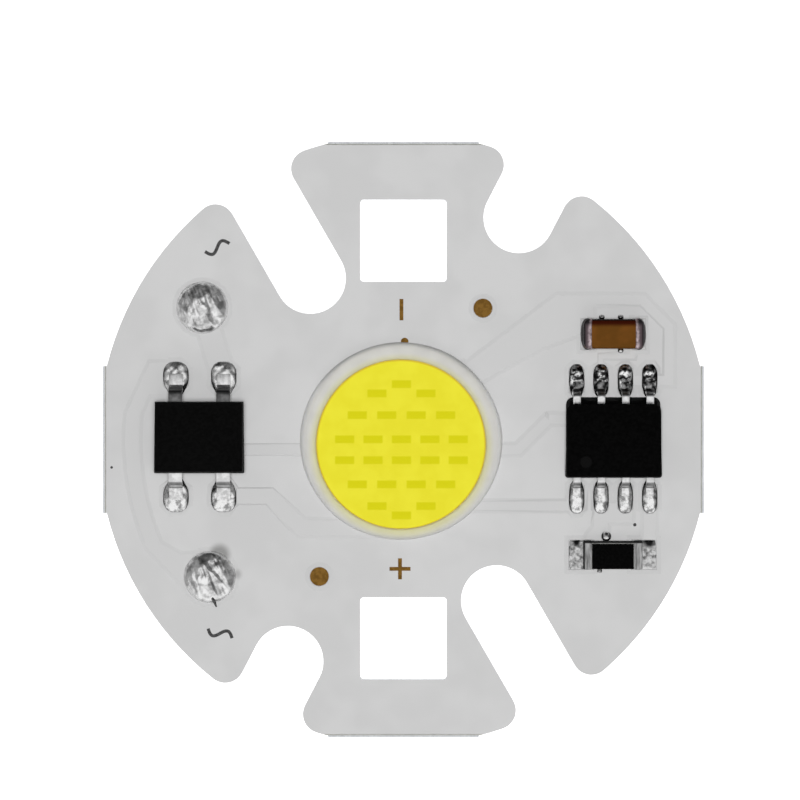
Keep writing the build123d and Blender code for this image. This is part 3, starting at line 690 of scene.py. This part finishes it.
shape = merged_copy("solder_mask")
shape.normal_update()
slopes = {}
for face in shape.faces:
    heights = [vert.co.z for vert in face.verts]
    upright = abs(face.normal.z) < 0.1
    if upright and min(heights) > copper_top - tiny and max(heights) < mask_top + tiny:
        slopes[face] = (opened_half, opened_half) if is_opening(face) else (flowed_out, flowed_in)
corners = {vert for face in slopes for vert in face.verts}
shifts = {vert: wall_shift(vert, slopes) for vert in corners}
level_faces = {face: math.copysign(1, face.normal.z)
               for face in shape.faces if abs(face.normal.z) > 0.9}
for vert, shift in shifts.items():
    vert.co += shift
for attempt in range(attempts):
    shape.normal_update()
    turned = [face for face, way in level_faces.items()
              if face.normal.z * way < -0.9 and face.calc_area() > (5 * tiny) ** 2]
    for vert in {vert for face in turned for vert in face.verts if vert in shifts}:
        shifts[vert] = shifts[vert] / 2
        vert.co -= shifts[vert]
    print(f"attempt {attempt}: {len(turned)} level faces turned over")
add_piece("mask_paint", shape, white_paint, "white_mask", "solder_mask", sharp=6)
print(f"{len(slopes)} step faces turned into slopes")

# %% [markdown]
# The dam is a bead squeezed from a nozzle. Its section is a half round, fuller on the outer
# side, and is spun once round. Its outer side wanders a little, as a hand-fed bead does, and is
# a touch flatter from front to back. The inner side stays true, because the phosphor levelled
# itself against it.

# %% Dam bead
inner_radius = 4.15 * mm
bead_half = (dam_radius - inner_radius) / 2
bead_middle = dam_radius - bead_half
bead_height = dam_high.z - copper_top
section_points = 24
outer_fullness = 2.5
inner_fullness = 2.0
inner_growth = 0.12 * mm
inner_drop = 0.17 * mm
outer_squash = 0.02
outer_wander = 0.045 * mm
crown_swell = 0.03
turns = 144

section = []
for step in range(section_points + 1):
    angle = math.pi * step / section_points
    fullness = outer_fullness if angle < math.pi / 2 else inner_fullness
    out = math.copysign(abs(math.cos(angle)) ** (2 / fullness), math.cos(angle))
    up = abs(math.sin(angle)) ** (2 / fullness)
    section.append((bead_middle + bead_half * out, bead_height * up))
shape = spun(section, turns, ring=True)
for vert in shape.verts:
    around = Vector((vert.co.x, vert.co.y, 0)).normalized()
    from_crown = (math.hypot(vert.co.x, vert.co.y) - bead_middle) / bead_half
    outside = min(1.0, max(0.0, from_crown))
    inside = min(1.0, max(0.0, -from_crown))
    wander = noise.noise(around * 1.7 + Vector((0, 0, 4.0)))
    swell = noise.noise(around * 3.1 + Vector((0, 0, 9.0)))
    vert.co += around * (wander * outer_wander * outside + inner_growth * inside)
    vert.co.y *= 1 - outer_squash * outside
    vert.co.y -= inner_drop * inside
    vert.co.z *= 1 + crown_swell * swell * outside
bmesh.ops.translate(shape, vec=(dam_middle.x, dam_middle.y, copper_top), verts=shape.verts)
add_piece("dam_bead", shape, silicone, "dam_silicone", "dam_ring")

# %% [markdown]
# The phosphor was poured with the board slightly tilted, so its surface is a tilted disc
# whose edge runs into the bead. A profile line is spun into a closed disc and then sheared.

# %% Phosphor pool
pool_radius = bead_middle
pool_tilt = math.tan(math.radians(0.8))
pool_level = copper_top + 0.5 * mm
pool_ripple = 0.008 * mm
rings = 24

profile = [(pool_radius * step / rings, pool_level) for step in range(rings + 1)]
shape = spun(profile + [(pool_radius, copper_top), (0.0, copper_top)], turns)
for vert in shape.verts:
    if vert.co.z > copper_top + tiny:
        vert.co.z -= pool_tilt * vert.co.y
        vert.co.z += pool_ripple * noise.noise(Vector((vert.co.x, vert.co.y, 0)) / (1.5 * mm))
bmesh.ops.translate(shape, vec=(dam_middle.x, dam_middle.y, 0), verts=shape.verts)
add_piece("phosphor_pool", shape, phosphor, "phosphor", "phosphor_fill", sharp=50)


# %% [markdown]
# A moulded package tapers up and down from the line where its leads come out, so that it
# can leave the mould. A cube is cut at that line, its ends are drawn in, and its corners
# and top edge are rounded.

# %% Moulded packages
lower_share = 0.62


def moulded_case(node, parting, draft, back_corner, front_corner, edge, flash, ledge=0.0):
    """The bmesh of a package in the box of its solid, with its own corner radius at each end of Y.

    Flash stands out all round at the parting line. At the back the lower half stands out by most
    of the ledge and the upper half stands in by the rest."""
    low, high, middle = span(node)
    shape = block(middle, high - low + Vector((2 * flash, 2 * flash, 0)))
    cut_at(shape, parting)
    for vert in shape.verts:
        inset = math.tan(math.radians(draft)) * abs(vert.co.z - parting)
        vert.co.x -= math.copysign(inset, vert.co.x - middle.x)
        vert.co.y -= math.copysign(inset, vert.co.y - middle.y)
    round_edges(shape, upright_edges(shape, 1, middle, 1), back_corner, 6)
    round_edges(shape, upright_edges(shape, 1, middle, -1), front_corner, 6)
    rim = [line for line in sharp_edges(shape, 40)
           if abs(line.verts[0].co.z - line.verts[1].co.z) < tiny]
    round_edges(shape, rim, edge, 3)
    if ledge:
        cut_at(shape, parting + 5 * tiny)
        for vert in shape.verts:
            if vert.co.y > middle.y:
                below = vert.co.z < parting + tiny
                vert.co.y += ledge * (lower_share if below else lower_share - 1)
    return shape


rectifier_parting = span("rectifier_lead_1")[1].z - 0.1 * mm
driver_parting = span("driver_lead_1")[1].z - 0.095 * mm
shape = moulded_case("rectifier_body", rectifier_parting, 4.0, 0.06 * mm, 0.06 * mm, 0.04 * mm,
                     0.01 * mm)
add_piece("rectifier_case", shape, rectifier_mould, "black_mould", "rectifier_body", sharp=25)

# %% [markdown]
# The driver package has rounder corners and a shallow round dimple that marks its first
# pin. The dimple is cut with a flat-bottomed cone, and the cutter is removed again.

# %% Driver package with its pin mark
dimple_depth = 0.03 * mm
dimple_place = Vector((dimple_x * mm, dimple_y * mm, span("driver_body")[1].z))

shape = bmesh.new()
bmesh.ops.create_cone(shape, cap_ends=True, segments=40, radius1=dimple_radius * 0.85 * mm,
                      radius2=dimple_radius * 1.15 * mm, depth=2 * dimple_depth,
                      matrix=Matrix.Translation(dimple_place))
cutter = new_object("dimple_cutter", shape)

shape = moulded_case("driver_body", driver_parting, 5.0, 0.38 * mm, 0.15 * mm, 0.05 * mm,
                     0.06 * mm, ledge=0.34 * mm)
case = add_piece("driver_case", shape, driver_mould, "black_mould", "driver_body", sharp=25)
cut = case.modifiers.new("dimple", "BOOLEAN")
cut.operation = "DIFFERENCE"
cut.object = cutter
bpy.context.view_layer.update()
graph = bpy.context.evaluated_depsgraph_get()
cut_mesh = bpy.data.meshes.new_from_object(case.evaluated_get(graph))
case.modifiers.clear()
case.data = cut_mesh
bpy.data.objects.remove(cutter)
print(f"driver case with its dimple: {len(cut_mesh.polygons)} faces")

# %% [markdown]
# The leads are stamped from sheet and bent, so their form is right in the solids. They need
# their sharp edges broken, or they would never catch the light. The necks of the rectifier leave
# the body with a slight fall, so the front ones shine and the back ones stay grey; that grey is
# also painted in as shade.

# %% Leads with broken edges
lead_edge = 0.02 * mm
neck_length = 0.4 * mm


def pin(part, number, fall, finish):
    """A copy of a lead with rounded edges, whose neck falls away from the body by an angle."""
    node = f"{part}_lead_{number}"
    shape = merged_copy(node)
    bmesh.ops.dissolve_limit(shape, angle_limit=math.radians(0.5), verts=shape.verts,
                             edges=shape.edges)
    round_edges(shape, sharp_edges(shape, 40), lead_edge, 2)
    low, high = span(node)[:2]
    body_low, body_high, body_middle = span(f"{part}_body")
    half_body = (body_high.y - body_low.y) / 2
    for vert in shape.verts:
        reach = max(0.0, abs(vert.co.y - body_middle.y) - half_body)
        lift = (vert.co.z - low.z) / (high.z - low.z)
        vert.co.z -= math.tan(math.radians(fall)) * min(reach, neck_length) * lift
    add_piece(f"{part}_pin_{number}", shape, finish, "tinned_lead", node)


for number in range(1, 5):
    pin("rectifier", number, 10, shaded_neck_tin if number < 3 else plain_tin)
for number in range(1, 9):
    pin("driver", number, 0, plain_tin if number < 5 else back_shaded_tin)


# %% [markdown]
# A solder joint is a drop that wetted the pad and the foot of the lead, then froze. The upper
# half of a sphere gets the outline of the pad, a neck where the lead rises, a rounded toe and
# a few lumps.

# %% Solder at the leads
overlap = 0.03 * mm
crest_place = 0.62
crest_width = 0.2


def solder_drop(part, word, toe, height, neck, tail, crest, lump, seed, finish, fullness=3.0):
    """A drop of solder in the box of a joint. Its toe points along the given way, its tail to the
    part that it holds, and a crest of its own height can lie across it near the toe."""
    node = f"{part}_joint_{word}"
    low, high, middle = span(node)
    sideways = Vector((-toe.y, toe.x, 0))
    size = high - low
    half_width = abs(size.dot(sideways)) / 2 + overlap
    half_length = abs(size.dot(toe)) / 2 + overlap
    shape = half_ball(56, 36)
    for vert in shape.verts:
        x, y, z = vert.co
        spread = math.hypot(x, y)
        if spread > 0:
            square = (abs(x / spread) ** fullness + abs(y / spread) ** fullness) ** (-1 / fullness)
            x, y = x * square, y * square
        heel = max(-y, 0)
        x *= 1 - neck * heel**2 - 0.07 * max(y, 0) ** 3
        y -= tail * heel**2
        place = Vector((middle.x, middle.y, copper_top))
        place += half_width * x * sideways + half_length * y * toe
        place.z += height * max(z, 0) ** (0.8 + 0.5 * heel)
        place.z += crest * max(z, 0) * math.exp(-((y - crest_place) / crest_width) ** 2)
        rough = noise.noise(place / (0.3 * mm) + Vector((seed, 0, 0)))
        place.z += lump * rough * min(1.0, 2 * max(z, 0))
        place.x += 0.6 * lump * noise.noise(place / (0.4 * mm) + Vector((0, seed, 0)))
        vert.co = place
    add_piece(f"{part}_solder_{word}", shape, finish, "solder", node, sharp=60)


back = Vector((0, 1, 0))
for number in range(1, 5):
    solder_drop("rectifier", number, back if number < 3 else -back, 0.2 * mm, 0.42, 0.3, 0.0,
                0.04 * mm, 3.7 * number, joint_solder)
for number in range(1, 9):
    toe, crest, lump, finish = ((-back, 0.04, 0.03, joint_solder) if number < 5
                                else (back, 0.08, 0.05, back_shaded_solder))
    solder_drop("driver", number, toe, 0.19 * mm, 0.22, 0.12, crest * mm, lump * mm, 5.3 * number,
                finish)

# %% [markdown]
# The wire pads carry domes of solder that were dragged by the iron and dried, so their
# surface has folds that run one way. The dome keeps the height of its solid, and noise that
# is stretched along the drag raises the folds.

# %% Solder domes on the wire pads
def wire_dome(name, node, drag, seed):
    """A dome with folds along the drag, an angle in degrees."""
    low, high, middle = span(node)
    half = (high.x - low.x) / 2
    rise = high.z - copper_top
    along = Vector((math.cos(math.radians(drag)), math.sin(math.radians(drag)), 0))
    across = Vector((-along.y, along.x, 0))
    shape = half_ball(128, 96)
    for vert in shape.verts:
        flat = Vector((vert.co.x, vert.co.y, 0))
        u = flat.dot(along)
        v = flat.dot(across)
        lift = max(vert.co.z, 0)
        folds = noise.noise(Vector((u * 0.8, v * 2.8, seed)))
        ridges = 1 - abs(noise.noise(Vector((u * 1.2, v * 4.6, seed + 5))))
        dents = noise.noise(Vector((u * 3.2, v * 4.0, seed + 9)))
        edge = 1 + 0.025 * noise.noise(Vector((flat.x * 2, flat.y * 2, seed + 2)))
        height = rise * lift * (0.5 + 0.16 * folds + 0.18 * ridges + 0.06 * dents)
        vert.co = Vector((middle.x + half * edge * flat.x, middle.y + half * edge * flat.y,
                          copper_top + height))
    add_piece(name, shape, dome_solder, "solder", node, sharp=70)


wire_dome("line_dome", "wire_pad_line", -66, 2.3)
wire_dome("neutral_dome", "wire_pad_neutral", -66, 7.9)

# %% Thorn that the iron drew out of the neutral dome
thorn_root = Vector((-10.05, -8.1, 1.30)) * mm
thorn_tip = Vector((-9.79, -8.76, 1.24)) * mm
thorn_way = thorn_tip - thorn_root
shape = bmesh.new()
bmesh.ops.create_cone(shape, cap_ends=True, segments=16, radius1=0.15 * mm, radius2=0.03 * mm,
                      depth=thorn_way.length,
                      matrix=Matrix.Translation((thorn_root + thorn_tip) / 2)
                      @ thorn_way.to_track_quat("Z", "Y").to_matrix().to_4x4())
add_piece("solder_thorn", shape, thorn_solder, "solder")

# %% [markdown]
# The chip parts are small blocks with metal ends. Their blocks and ends are the solids with
# rounder edges.

# %% Chip blocks and ends
cap_corner = 0.34 * mm
cap_edge = 0.12 * mm
both_ends = {"left": -1, "right": 1}


def rounded_block(name, node, finish, slot, offset, segments):
    """A box in the place of a solid, with rounded edges."""
    low, high, middle = span(node)
    shape = block(middle, high - low)
    round_edges(shape, shape.edges[:], offset, segments)
    add_piece(name, shape, finish, slot, node)


def capacitor_cap(word, side):
    """An end of the capacitor, with wide corners on its outer side."""
    low, high, middle = span(f"capacitor_end_{word}")
    shape = block(middle, high - low)
    round_edges(shape, upright_edges(shape, 0, middle, side), cap_corner, 8)
    round_edges(shape, sharp_edges(shape), cap_edge, 4)
    add_piece(f"capacitor_cap_{word}", shape, cap_metal, "chip_end", f"capacitor_end_{word}")


rounded_block("capacitor_block", "capacitor_body", brown_ceramic, "capacitor_ceramic", 0.2 * mm, 6)
rounded_block("resistor_block", "resistor_ceramic", white_ceramic, "alumina", 0.06 * mm, 3)
for word, side in both_ends.items():
    capacitor_cap(word, side)
    rounded_block(f"resistor_cap_{word}", f"resistor_end_{word}", band_metal, "chip_end",
                  0.08 * mm, 4)


# %% [markdown]
# At the resistor the solder runs down from the end as a hollow ramp. A cube with a fine grid
# on its faces is pressed into that ramp, and lumps are added to its upper side. At the
# capacitor it stands as a full drop, like those at the leads.

# %% Solder at the chip ends
climb = 0.85
hollow = 3.5
corner = 0.2
draw_in = 0.04
ramp_lump = 0.035 * mm


def solder_ramp(word, side):
    """A ramp in the box of a resistor joint that falls to the side +1 or -1 along X.

    Its outer corners are drawn in by a share of its length."""
    node = f"resistor_joint_{word}"
    low, high, middle = span(node)
    shape = bmesh.new()
    bmesh.ops.create_cube(shape, size=1)
    bmesh.ops.subdivide_edges(shape, edges=shape.edges[:], cuts=26, use_grid_fill=True)
    for vert in shape.verts:
        out = vert.co.x * side + 0.5
        y = 2 * vert.co.y
        up = vert.co.z + 0.5
        rounding = max(0.0, 1 - abs(y) ** 8) ** corner
        reach = 1 - draw_in * abs(y) ** 3 * out
        top = (climb * (1 - out) ** hollow + 0.1 * (1 - out**8)) * rounding
        place = Vector((middle.x, middle.y, copper_top))
        place.x += side * (high.x - low.x) * (out * reach - 0.5)
        place.y += (high.y - low.y) / 2 * y
        place.z += up * max(top, 0.0) * (high.z - copper_top)
        rough = noise.noise(place / (0.22 * mm) + Vector((0, 0, 4.0 + side)))
        place.z += ramp_lump * rough * up * rounding
        vert.co = place
    add_piece(f"resistor_solder_{word}", shape, chip_solder, "solder", node, sharp=60)


for word, side in both_ends.items():
    solder_ramp(word, side)
    solder_drop("capacitor", word, Vector((side, 0, 0)), 0.8 * mm, 0.0, 0.0, 0.0, 0.02 * mm,
                9.0 + side, shaded_ring_solder, fullness=2.25)

# %% [markdown]
# Small balls of solder lie along the chip parts, as they do after a hot reflow.

# %% Solder balls
ball_drop = 0.2
balls = [("capacitor_body", -0.60, 0.88, 0.15), ("capacitor_body", 0.39, 0.88, 0.15),
         ("capacitor_body", 0.39, -0.86, 0.15), ("resistor_ceramic", -0.34, 0.97, 0.26),
         ("resistor_ceramic", -0.68, -0.84, 0.13)]
shape = bmesh.new()
for part, x, y, ball_radius in balls:
    place = span(part)[2] + Vector((x, y, 0)) * mm
    place.z = mask_top + ball_radius * mm * (1 - ball_drop)
    add_ball(shape, place, ball_radius * mm, 32, 20)
add_piece("solder_balls", shape, joint_solder, "solder")


# %% [markdown]
# The marks on the board are thin plates on the paint: a minus and a plus in bare copper, a
# small copper dot at the dam, and a generic wave beside each mains pad in dark print.

# %% Marks on the board
mark_thickness = 0.008 * mm
mark_level = copper_top + mark_thickness / 2
bars = {"minus_mark": [(-0.105, 6.80, 0.2, 1.12)],
        "plus_mark": [(-0.18, -6.77, 1.1, 0.2), (-0.18, -6.445, 0.2, 0.45),
                      (-0.18, -7.095, 0.2, 0.45)]}
for name, places in bars.items():
    shape = bmesh.new()
    for x, y, width, length in places:
        made = bmesh.ops.create_cube(shape, size=1)["verts"]
        bmesh.ops.scale(shape, vec=(width * mm, length * mm, mark_thickness), verts=made)
        bmesh.ops.translate(shape, vec=(x * mm, y * mm, mark_level), verts=made)
    add_piece(name, shape, bare_copper, "copper")
dot_place = Matrix.Translation((0.065 * mm, 5.13 * mm, mark_level))
shape = bmesh.new()
bmesh.ops.create_cone(shape, cap_ends=True, segments=32, radius1=0.2 * mm, radius2=0.2 * mm,
                      depth=mark_thickness, matrix=dot_place)
add_piece("dot_mark", shape, bare_copper, "copper")

# %% Specks of flux on the paint
specks = [(12.11, -4.46, 0.09), (-15.28, -1.46, 0.07)]
speck_rise = 0.4
shape = bmesh.new()
for x, y, speck_radius in specks:
    add_ball(shape, (x * mm, y * mm, copper_top), speck_radius * mm, 16, 10)
to_ground = Matrix.Translation((0, 0, -copper_top))
bmesh.ops.scale(shape, vec=(1, 1, speck_rise), space=to_ground, verts=shape.verts)
add_piece("flux_specks", shape, dark_print, "white_mask")

# %% Waves beside the mains pads
wave_length = 1.35 * mm
wave_height = 0.26 * mm
wave_half = 0.085 * mm
wave_steps = 36


def wave_mark(name, x, y, turn):
    """A flat wave, one full swing, drawn by moving the long sides of a subdivided bar."""
    shape = bmesh.new()
    bmesh.ops.create_grid(shape, x_segments=wave_steps, y_segments=1, size=0.5)
    for vert in shape.verts:
        phase = math.tau * vert.co.x
        slope = math.atan(math.tau * wave_height / wave_length * math.cos(phase))
        side = 1 if vert.co.y > 0 else -1
        x_here = vert.co.x * wave_length - side * wave_half * math.sin(slope)
        y_here = wave_height * math.sin(phase) + side * wave_half * math.cos(slope)
        vert.co = Vector((x_here, y_here, 0))
    made = bmesh.ops.extrude_face_region(shape, geom=shape.faces[:])["geom"]
    lifted = [item for item in made if isinstance(item, bmesh.types.BMVert)]
    bmesh.ops.translate(shape, vec=(0, 0, mark_thickness), verts=lifted)
    place = Matrix.Translation((x * mm, y * mm, copper_top))
    bmesh.ops.transform(shape, matrix=place @ Matrix.Rotation(math.radians(turn), 4, "Z"),
                        verts=shape.verts)
    add_piece(name, shape, dark_print, "white_mask")


wave_mark("wave_mark_line", -9.75, 10.05, 18)
wave_mark("wave_mark_neutral", -9.6, -10.15, -22)

# %% [markdown]
# The floor is a large pale sheet. Camera, mirror and glass rays see it lifted to white, and
# the object's soft shadow stays on it.

# %% Floor
floor_half = 3.0
floor_gap = 0.02 * mm
floor_glow = 0.85
shape = bmesh.new()
bmesh.ops.create_grid(shape, x_segments=1, y_segments=1, size=floor_half)
floor = new_object("floor", shape)
floor.location.z = -floor_gap


def seen_share(tree):
    """1 for rays from the camera, a mirror or glass, and 0 for the rest."""
    path = add_node(tree, "ShaderNodeLightPath").outputs
    some = sums(tree, "MAXIMUM", path["Is Camera Ray"], path["Is Glossy Ray"])
    return sums(tree, "MAXIMUM", some, path["Is Transmission Ray"])


pale_floor, tree, shader = new_finish("pale_floor", 0.9, 0.0)
shader.inputs["Base Color"].default_value = (0.86, 0.86, 0.86, 1.0)
shader.inputs["Emission Color"].default_value = (1.0, 1.0, 1.0, 1.0)
glow = times(tree, seen_share(tree), floor_glow)
tree.links.new(glow, shader.inputs["Emission Strength"])
floor.data.materials.append(pale_floor)

# %% [markdown]
# The light falls almost straight down, so the low parts throw hardly any shadow. The room that
# the solder mirrors is bright overhead and low in front, and dim behind and at the sides, which
# gives each joint its dark upper side.

# %% Room and lamps
world = bpy.data.worlds.new("studio")
bpy.context.scene.world = world
world.use_nodes = True
tree = world.node_tree
background = tree.nodes["Background"]
background.inputs["Color"].default_value = (1.0, 1.0, 1.0, 1.0)
direction = add_node(tree, "ShaderNodeTexCoord").outputs["Generated"]
part = add_node(tree, "ShaderNodeSeparateXYZ", n0=direction).outputs
lean = math.radians(15)
toward_lamp = sums(tree, "SUBTRACT", times(tree, part[2], math.cos(lean)),
                   times(tree, part[1], math.sin(lean)))
overhead_glow = smooth_step(tree, toward_lamp, 0.74, 0.91)
front_glow = times(tree, smooth_step(tree, part[1], -0.6, -0.15, 1.0, 0.0),
                   smooth_step(tree, part[2], -0.1, 0.3))
side_glow = smooth_step(tree, sums(tree, "ABSOLUTE", part[0]), 0.25, 0.7, 0.08, 0.28)
mirrored = sums(tree, "MAXIMUM", sums(tree, "MAXIMUM", overhead_glow, front_glow), side_glow)
rays = add_node(tree, "ShaderNodeLightPath").outputs
room = add_node(tree, "ShaderNodeMix", n0=rays["Is Glossy Ray"], n2=0.16, n3=mirrored).outputs[0]
tree.links.new(sums(tree, "MAXIMUM", room, rays["Is Camera Ray"]), background.inputs["Strength"])


def add_lamp(name, place, size, power):
    """A square soft lamp aimed at the object, which shiny surfaces do not mirror."""
    lamp = bpy.data.lights.new(name, "AREA")
    lamp.shape = "SQUARE"
    lamp.size = size
    lamp.energy = power
    made = bpy.data.objects.new(name, lamp)
    made.location = place
    made.rotation_euler = (-Vector(place)).to_track_quat("-Z", "Y").to_euler()
    made.visible_glossy = False
    bpy.context.scene.collection.objects.link(made)


add_lamp("overhead", (0.0, -0.01, 0.80), 0.16, 4.75)
add_lamp("front", (0.05, -0.42, 0.45), 0.3, 0.35)

# %% [markdown]
# The camera looks straight down through a long lens, with the middle of the picture a little
# above the middle of the board.

# %% Camera
picture_width = 41.88 * mm
lens = 300.0
sensor = 36.0
picture_middle = (-0.18 * mm, 2.07 * mm)
camera = bpy.data.objects.new("camera", bpy.data.cameras.new("camera"))
camera.data.lens = lens
camera.data.sensor_width = sensor
camera.data.clip_start = 0.01
camera.data.clip_end = 20.0
camera.location = (*picture_middle, mask_top + picture_width * lens / sensor)
bpy.context.scene.collection.objects.link(camera)
bpy.context.scene.camera = camera
bpy.context.scene.view_settings.view_transform = "Standard"

# %% Update the scene
bpy.context.view_layer.update()
